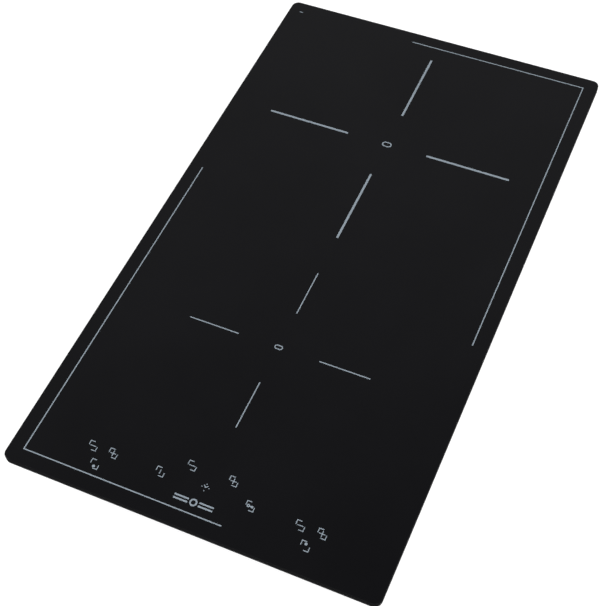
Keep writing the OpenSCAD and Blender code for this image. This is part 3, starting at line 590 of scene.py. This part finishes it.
def smooth_wire(node):
    """Smooths the sides of a CAD wire, whose section is a polygon."""
    weld_points(node)
    node.modifiers.new("normals", "WEIGHTED_NORMAL")


def dress_nodes():
    """Gives every CAD node its finish, and the visible ones softer edges."""
    for name, node in frame["nodes"].items():
        material = finish_of(SLOT_OF[name])
        for slot in node.material_slots:
            slot.material = material
        if node.hide_render or name in PRINTS:
            continue
        if name in WIRES:
            smooth_wire(node)
        else:
            ease_edges(node, EASED.get(name, USUAL_EASE))


# ---------------------------------------------------------------- seal and windings


def build_seal():
    """Foam strip under the rim of the glass, bulging a little where it is squeezed."""
    low, high = box_mm("worktop_seal")
    half, half_height = 1.8, (high.z - low.z) / 2
    corner_radius, corner_steps = 4.1, 8
    quarter = [(half, 0), (half - 0.04, half_height * 0.8), (half - 0.22, half_height)]
    upper = quarter + [(-a, b) for a, b in reversed(quarter)]
    outline = upper + [(a, -b) for a, b in upper[-2:0:-1]]
    inset = Vector((half, half, 0))
    middle_z = (low.z + high.z) / 2
    path = rounded_path(low + inset, high - inset, middle_z, corner_radius, corner_steps)
    shape = Shape("foam_seal_strip", "foam_seal")
    shape.sweep(path, outline, closed=True)
    shape.place("case", ["worktop_seal"], sharp=60)


def build_winding(node, name):
    """Flat coil of one stranded wire, wound from the middle outwards."""
    low, high = box_mm(node)
    centre = (low + high) / 2
    outer = (high.x - low.x) / 2
    inner_hole = 20  # radius that stays free in the middle
    pitch = 4.0  # from one turn to the next
    strands = 7  # that show round the wire
    lay = 58.0  # length of wire over which the strands go once round
    step = 3.2  # length of wire between two sections
    groove = 0.86  # radius between two strands, as a share of the wire's
    turns = int((outer - inner_hole) / pitch)
    start = outer - turns * pitch + pitch / 2
    half_w, half_h = pitch / 2 - 0.06, (high.z - low.z) / 2  # neighbouring turns stay clear

    path, angle, length = [], 0.0, [0.0]
    while angle < TURN * (turns - 1):
        radius = start + pitch * angle / TURN
        path.append(centre + radius * Vector((math.cos(angle), math.sin(angle), 0)))
        angle += step / radius
        length.append(length[-1] + step)

    def bundle(i):
        """Section of the wire: a ring of strands that turns along its length."""
        twist = TURN * length[i] / lay
        points = []
        for k in range(2 * strands):
            bearing = TURN * k / (2 * strands) + twist
            swell = 1.0 if k % 2 else groove
            points.append((half_w * swell * math.cos(bearing), half_h * swell * math.sin(bearing)))
        return points

    shape = Shape(name, "stranded_copper")
    shape.sweep(path, bundle)
    shape.place("case", [node], sharp=80)


# ---------------------------------------------------------------- parts on the boards


def build_film_capacitors(node, name, slot):
    """Moulded box capacitors with a dished top, two feet and two tinned legs."""
    leg = [(0, 0), (0.9, 0), (0.9, 0.6), (0, 0.6)]
    shape = Shape(name, slot)
    for low, high, _ in islands(node):
        body_low = low + Vector((0, 0, 0.6))
        middle = (low + high) / 2
        shape.dish(shape.block(body_low, high, 0.9, 3), 1.4, 0.35)
        for side in (-1, 1):
            y = middle.y + side * 11
            shape.block((middle.x - 2, y - 1, low.z), (middle.x + 2, y + 1, low.z + 0.9), 0.15)
            shape.use("tinned_brass")
            shape.lathe(leg, (middle.x, middle.y + side * 8, low.z), 12)
            shape.use(slot)
    shape.place("case", [node])


def build_smoothing_capacitors():
    """Aluminium cans in shrink sleeves, with a crimped foot and a scored top."""
    node = "smoothing_capacitors"
    shape = Shape("can_capacitors", "capacitor_sleeve")
    for low, high, _ in islands(node):
        radius = (high.x - low.x) / 2
        centre = ((low.x + high.x) / 2, (low.y + high.y) / 2, low.z)
        top = high.z - low.z
        shape.use("capacitor_sleeve")
        shape.lathe([
            (0, 0), (radius - 0.7, 0), (radius - 0.1, 0.5), (radius, 1.6), (radius - 0.8, 2.3),
            (radius, 3.0), (radius, top - 0.8), (radius - 0.3, top - 0.2), (radius - 0.9, top),
            (radius - 1.5, top - 0.1), (radius - 1.5, top - 0.5),
        ], centre)
        shape.use("sheet_aluminium")
        shape.lathe([(radius - 1.5, top - 0.5), (radius - 1.7, top - 0.25), (0, top - 0.25)], centre)
        middle = Vector(centre) + Vector((0, 0, top - 0.3))
        for turn in range(3):
            arm = Vector((radius - 3, 0, 0))
            arm.rotate(Matrix.Rotation(turn * TURN / 3, 3, "Z"))
            shape.sweep([middle, middle + arm * 0.5, middle + arm], ring_outline(0.25, 6))
    shape.place("case", [node])


def build_choke():
    """Ring core with two groups of thick enamelled wire turns."""
    node = "filter_choke"
    low, high = box_mm(node)
    middle = (low + high) / 2
    outer, height, wire = (high.x - low.x) / 2, high.z - low.z, 0.85
    ring_width = 8  # of the core with the wire round it
    mean = outer - ring_width / 2
    half_r, half_h = ring_width / 2 - 2 * wire, height / 2 - 2 * wire
    left, right, ease = mean - half_r, mean + half_r, 1.0
    core = [
        (left, -half_h + ease), (left + ease, -half_h),
        (right - ease, -half_h), (right, -half_h + ease),
        (right, half_h - ease), (right - ease, half_h),
        (left + ease, half_h), (left, half_h - ease),
    ]
    shape = Shape("ring_choke", "ferrite")
    shape.lathe(core + core[:1], middle)
    shape.use("enamelled_copper")
    per_group, span = 9, math.radians(142)
    reach_r, reach_h = half_r + wire, half_h + wire
    loop_steps, squareness = 20, 0.5  # a loop is an ellipse drawn out towards its corners
    for group in (0, 1):
        for k in range(per_group):
            bearing = group * TURN / 2 + (k - (per_group - 1) / 2) * span / (per_group - 1)
            out = Vector((math.cos(bearing), math.sin(bearing), 0))
            loop = []
            for step in range(loop_steps):
                angle = TURN * step / loop_steps
                c, s = math.cos(angle), math.sin(angle)
                across = math.copysign(abs(c) ** squareness, c) * reach_r
                lift = math.copysign(abs(s) ** squareness, s) * reach_h
                loop.append(middle + out * (mean + across) + Vector((0, 0, lift)))
            shape.sweep(loop, ring_outline(wire, 8), closed=True)
    shape.place("case", [node])


def build_transformer():
    """Small switching transformer: split core round a taped winding on a pinned bobbin."""
    node = "supply_transformer"
    low, high = box_mm(node)
    middle = (low + high) / 2
    shape = Shape("small_transformer", "transformer_tape")
    tape_inset = Vector((2.2, 3.4, 3))
    shape.block(low + tape_inset, high - tape_inset, 2.2, 4)
    shape.use("ferrite")
    front, rear, limb = low.y + 6, high.y - 6, 3
    shape.block((low.x, front, high.z - limb), (high.x, rear, high.z), 0.5)
    shape.block((low.x, front, low.z + 1.4), (high.x, rear, low.z + 4), 0.5)
    for x in (low.x, high.x - limb):
        shape.block((x, front, low.z + 1.8), (x + limb, rear, high.z - 0.6), 0.5)
    shape.use("device_black")
    for y in (low.y, high.y - 5):
        shape.block((low.x + 1, y, low.z + 0.6), (high.x - 1, y + 5, low.z + 4.4), 0.5)
    shape.use("tinned_brass")
    pin = [(0, 0), (0.5, 0), (0.5, 1.2), (0, 1.2)]
    for y in (low.y + 1.6, high.y - 1.6):
        for k in range(4):
            shape.lathe(pin, (middle.x - 7.5 + 5 * k, y, low.z), 8)
    shape.place("case", [node])


def build_relay():
    """Sealed relay: case on a slightly larger base, with a vent nib and a dished top."""
    node = "relay"
    low, high = box_mm(node)
    case_low, case_high = low + Vector((0.4, 0.4, 1.6)), high - Vector((0.4, 0.4, 0.3))
    nib = [(0.9, 0), (0.9, 0.5), (0.5, 0.7), (0, 0.7)]
    shape = Shape("power_relay", "relay_case")
    shape.dish(shape.block(case_low, case_high, 0.8, 3), 1.2, 0.25)
    shape.use("device_black")
    shape.block(low, (high.x, high.y, low.z + 2.0), 0.35)
    shape.use("relay_case")
    shape.lathe(nib, (low.x + 3, low.y + 4, high.z - 1.0), 16)
    shape.place("case", [node])


def build_fuse():
    """Ceramic tube fuse with metal end caps in two spring clips."""
    node = "fuse"
    low, high = box_mm(node)
    radius = (high.x - low.x) / 2
    middle_x, middle_z = (low.x + high.x) / 2, (low.z + high.z) / 2
    end = (middle_x, low.y, middle_z)
    length = high.y - low.y
    cap, tube_radius, overlap = 5.0, radius - 0.25, 0.4
    shape = Shape("tube_fuse", "fuse_ceramic")
    tube = [(tube_radius, cap - overlap), (tube_radius, length - cap + overlap)]
    shape.lathe(tube, end, 32, "Y")
    shape.use("tinned_brass")
    for base, way in ((0, 1), (length, -1)):
        shape.lathe([
            (0, base), (radius - 0.4, base), (radius, base + way * 0.4),
            (radius, base + way * (cap - 0.3)), (tube_radius, base + way * cap),
        ], end, 32, "Y")
    floor = box_mm("power_board")[1].z
    reach = radius + 0.5
    for y in (low.y + 1.2, high.y - 4.2):
        for side in (-1, 1):
            x = middle_x + side * (radius + 0.3)
            shape.block((x - 0.25, y, floor), (x + 0.25, y + 3, middle_z + 1.4), 0.12)
        shape.block((middle_x - reach, y, floor), (middle_x + reach, y + 3, floor + 0.5), 0.12)
    shape.place("case", [node])


def build_displays():
    """Two-digit numeral displays: white frame, dark face, and seven bars for each digit."""
    node = "digit_displays"
    bar, bar_gap, thick, proud = 1.5, 0.3, 0.28, 0.15
    half_bar = bar - bar_gap
    shape = Shape("number_displays", "white_plastic")

    def draw_bar(x, y, half_x, half_y, top):
        """One bar of a digit."""
        shape.block((x - half_x, y - half_y, top - proud), (x + half_x, y + half_y, top), 0.05, 1)

    for low, high, _ in islands(node):
        middle, top = (low + high) / 2, high.z
        shape.block(low, (high.x, high.y, top - 0.2), 0.4)
        shape.use("display_face")
        shape.block((low.x + 0.5, low.y + 0.5, top - 0.4), (high.x - 0.5, high.y - 0.5, top - 0.1), 0.1)
        shape.use("white_plastic")
        for x in (middle.x - 3.2, middle.x + 3.2):
            for row in (-1, 0, 1):
                draw_bar(x, middle.y + row * 2 * bar, half_bar, thick, top)
            for side in (-1, 1):
                for row in (-1, 1):
                    draw_bar(x + side * bar, middle.y + row * bar, thick, half_bar, top)
    shape.place("case", [node])


def build_supply_leads():
    """Live, neutral and earth leads, each in its own colour."""
    node = "supply_leads"
    colours = ["lead_brown", "lead_blue", "earth_sleeve"]
    shape = Shape("mains_leads", colours[0])
    for (_, _, faces), colour in zip(islands(node), colours):
        shape.use(colour)
        shape.copy(faces)
    shape.place("case", [node], sharp=80)


# Surface-mounted parts: finish, and width, depth and height in mm
SMALL_PARTS = {
    "chip": ("device_black", 4.0, 5.0, 1.4),
    "resistor": ("device_black", 1.6, 3.2, 0.55),
    "capacitor": ("cream_plastic", 2.0, 3.0, 1.3),
}
SMALL_PART_MIX = ["chip", "resistor", "resistor", "resistor", "capacitor"]

# Nodes that take up room on each board
POWER_PARTS = [
    "heat_sink", "power_transistors", "bridge_rectifier", "resonant_capacitors", "filter_choke",
    "filter_capacitor", "smoothing_capacitors", "supply_transformer", "relay", "fuse", "board_tabs",
    "ribbon_cable", "inner_screws", "coil_leads", "sensor_leads", "fan_lead", "supply_leads",
]
CONTROL_PARTS = ["touch_springs", "digit_displays", "buzzer", "inner_screws"]


def small_part(shape, x, y, z, kind, turned):
    """One surface-mounted part: a chip on legs, or a resistor or capacitor with tinned ends."""
    slot, width, depth, height = SMALL_PARTS[kind]
    if turned:
        width, depth = depth, width
    half_w, half_d = width / 2, depth / 2
    shape.use(slot)
    shape.block((x - half_w, y - half_d, z + 0.1), (x + half_w, y + half_d, z + height), 0.15, 1)
    shape.use("tinned_brass")
    if kind == "chip":
        for k in range(4):
            for side in (-1, 1):
                along = (k - 1.5) * 1.2
                leg_x = x + (along if turned else side * (half_w + 0.4))
                leg_y = y + (side * (half_d + 0.4) if turned else along)
                leg_low = (leg_x - 0.5, leg_y - 0.25, z)
                shape.block(leg_low, (leg_x + 0.5, leg_y + 0.25, z + 0.4), 0.08, 1)
    else:
        reach_x, reach_y = (0.35, half_d + 0.05) if turned else (half_w + 0.05, 0.35)
        for side in (-1, 1):
            end_x = x + (side * half_w if turned else 0)
            end_y = y + (0 if turned else side * half_d)
            end_low = (end_x - reach_x, end_y - reach_y, z)
            shape.block(end_low, (end_x + reach_x, end_y + reach_y, z + height + 0.05), 0.1, 1)


def build_small_parts(name, board, seed, count, taken):
    """Scatters small parts over a board, clear of the nodes that take up room on it."""
    low, high = box_mm(board)
    rng = random.Random(seed)
    margin, headroom, grid, most_tries = 4.0, 3.0, 0.5, 60 * count
    blocked = [item[:2] for node in taken for item in islands(node) if item[0].z < high.z + headroom]
    shape = Shape(name, "device_black")
    placed, tries = 0, 0
    while placed < count and tries < most_tries:
        tries += 1
        x = rng.uniform(low.x + margin, high.x - margin)
        y = rng.uniform(low.y + margin, high.y - margin)
        kind = rng.choice(SMALL_PART_MIX)
        turned = rng.random() < 0.5
        if any(
            a.x - margin < x < b.x + margin and a.y - margin < y < b.y + margin
            for a, b in blocked
        ):
            continue
        small_part(shape, round(x / grid) * grid, round(y / grid) * grid, high.z, kind, turned)
        blocked.append((Vector((x - 1, y - 1)), Vector((x + 1, y + 1))))
        placed += 1
    shape.place("case")


def build_cover_grip():
    """Raised grip bars on the terminal cover."""
    low, high = box_mm("terminal_cover")
    middle = (low.x + high.x) / 2
    plate = [v.co / MM for v in frame["nodes"]["terminal_cover"].data.vertices]
    face = max(p.y for p in plate if p.z > (low.z + high.z) / 2)
    bars, half_length, radius, sunk = 3, 7, 0.45, 0.15
    from_top, spacing = 3.5, 2.2
    shape = Shape("cover_grip_bars", "white_plastic")
    for k in range(bars):
        z = high.z - from_top - spacing * k
        path = [Vector((middle + half_length * (i / 2 - 1), face - sunk, z)) for i in range(5)]
        shape.sweep(path, ring_outline(radius, 10))
    shape.place("cover")


# ---------------------------------------------------------------- stage


def build_floor():
    """Plain pale floor: white to the eye away from the object, and dim in mirror reflections."""
    half_size = 60.0
    pale, dim = (0.34,) * 3, (0.035,) * 3  # colour in plain sight, and in mirror reflections
    near, far, near_glow = 0.5, 1.6, 0.74  # the glow rises to 1 between these metres from the middle
    mesh = bpy.data.meshes.new("studio_floor")
    corners = [(-1, -1), (1, -1), (1, 1), (-1, 1)]
    mesh.from_pydata([(half_size * x, half_size * y, 0) for x, y in corners], [], [(0, 1, 2, 3)])
    floor = bpy.data.objects.new("studio_floor", mesh)
    bpy.context.scene.collection.objects.link(floor)

    surface = Surface("studio_floor")
    rays = surface.add("ShaderNodeLightPath", {}).outputs
    cloud = surface.mix(0.05, 0.5, surface.noise(400, 2))
    surface.colour(surface.mix(rays["Is Glossy Ray"], cloud, 0.0), [(0.0, dim), (0.5, pale)])
    surface.shader.inputs["Roughness"].default_value = 1.0
    surface.shader.inputs["Specular IOR Level"].default_value = 0.0
    surface.shader.inputs["Emission Color"].default_value = (1, 1, 1, 1)
    away = surface.add("ShaderNodeVectorMath", {0: surface.place}, operation="LENGTH")
    reach = {"From Min": near, "From Max": far, "To Min": near_glow, "To Max": 1.0}
    glow = surface.add("ShaderNodeMapRange", {"Value": away.outputs["Value"], **reach}).outputs[0]
    seen = {0: rays["Is Camera Ray"], 1: glow}
    seen_glow = surface.add("ShaderNodeMath", seen, operation="MULTIPLY").outputs[0]
    surface.links.new(seen_glow, surface.shader.inputs["Emission Strength"])
    mesh.materials.append(surface.material)


# Brightness of the surround by height: 0 is the horizon, 1 is overhead
SKY = [(0.0, 0.72), (0.22, 0.50), (0.5, 0.28), (0.656, 0.20), (0.79, 0.165), (0.93, 0.06), (1.0, 0.05)]


def build_sky():
    """Soft surround: pale near the horizon, dim overhead, and plain white to the camera."""
    world = bpy.data.worlds.new("soft_studio")
    world.use_nodes = True
    sky = NodeTree(world.node_tree)
    place = sky.add("ShaderNodeTexCoord", {}).outputs["Generated"]
    height = sky.add("ShaderNodeSeparateXYZ", {0: place}).outputs["Z"]
    cool = 1.03
    surround = sky.ramp(height, [(position, (level, level, level * cool)) for position, level in SKY])
    seen = sky.add("ShaderNodeLightPath", {}).outputs["Is Camera Ray"]
    inputs = {0: seen, 6: surround, 7: (1, 1, 1, 1)}  # 6 and 7 are the colours to mix
    shown = sky.add("ShaderNodeMix", inputs, data_type="RGBA").outputs[2]
    sky.links.new(shown, sky.nodes["Background"].inputs["Color"])
    bpy.context.scene.world = world


# Square soft lights: place and size in metres, watts, and whether the glass mirrors them
LIGHTS = {
    "key_light": ((1.7, -1.1, 1.7), 1.3, 46, False),
    "left_fill": ((-1.9, -0.9, 1.4), 1.3, 30, True),
    "top_light": ((0.3, -0.9, 2.6), 1.2, 40, False),
    "back_light": ((0.9, 2.2, 0.9), 1.2, 16, False),
}


def add_softbox(name, place, size, watts, mirrored):
    """Square soft light that points at the origin."""
    light = bpy.data.lights.new(name, "AREA")
    light.shape = "SQUARE"
    light.size = size
    light.energy = watts
    lamp = bpy.data.objects.new(name, light)
    lamp.location = place
    lamp.rotation_mode = "QUATERNION"
    lamp.rotation_quaternion = (-Vector(place)).to_track_quat("-Z", "Y")
    lamp.visible_glossy = mirrored
    bpy.context.scene.collection.objects.link(lamp)


def build_camera():
    """Camera in front and to the right, looking down on the glass as the photo does."""
    azimuth, elevation, roll = math.radians(25.22), math.radians(52.40), math.radians(-3.554)
    distance, aim_right, aim_forward = 0.9727, 0.0111, 0.0490  # from the middle of the glass
    lens, sensor_width, shift = 73.64, 36.0, -0.0297
    low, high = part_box("glass_panel")
    centre = Vector(((low.x + high.x) / 2, (low.y + high.y) / 2, high.z))
    aim = centre + Vector((aim_right, -aim_forward, 0))
    back = Vector((
        math.sin(azimuth) * math.cos(elevation),
        -math.cos(azimuth) * math.cos(elevation),
        math.sin(elevation),
    ))
    place = centre + back * distance
    ahead = (aim - place).normalized()
    level = ahead.cross(Vector((0, 0, 1))).normalized()
    right = level * math.cos(roll) + level.cross(ahead) * math.sin(roll)
    up = right.cross(ahead)
    data = bpy.data.cameras.new("camera")
    data.lens = lens
    data.sensor_width = sensor_width
    data.shift_x = shift
    data.clip_start = 0.01
    camera = bpy.data.objects.new("camera", data)
    camera.matrix_world = Matrix((
        (right.x, up.x, -ahead.x, place.x),
        (right.y, up.y, -ahead.y, place.y),
        (right.z, up.z, -ahead.z, place.z),
        (0, 0, 0, 1),
    ))
    bpy.context.scene.collection.objects.link(camera)
    bpy.context.scene.camera = camera


def build_stage():
    """Camera, floor, surround and lights."""
    scene = bpy.context.scene
    scene.view_settings.view_transform = "Standard"
    scene.view_settings.look = "None"
    build_camera()
    build_floor()
    build_sky()
    for name, light in LIGHTS.items():
        add_softbox(name, *light)


# ---------------------------------------------------------------- the whole scene

build_stage()
build_seal()
build_winding("rear_winding", "rear_spiral_coil")
build_winding("front_winding", "front_spiral_coil")
build_film_capacitors("resonant_capacitors", "resonant_box_capacitors", "blue_film")
build_film_capacitors("filter_capacitor", "filter_box_capacitor", "yellow_film")
build_smoothing_capacitors()
build_choke()
build_transformer()
build_relay()
build_fuse()
build_displays()
build_supply_leads()
build_small_parts("power_board_parts", "power_board", 7, 70, POWER_PARTS)
build_small_parts("control_board_parts", "control_board", 11, 46, CONTROL_PARTS)
build_cover_grip()
dress_nodes()
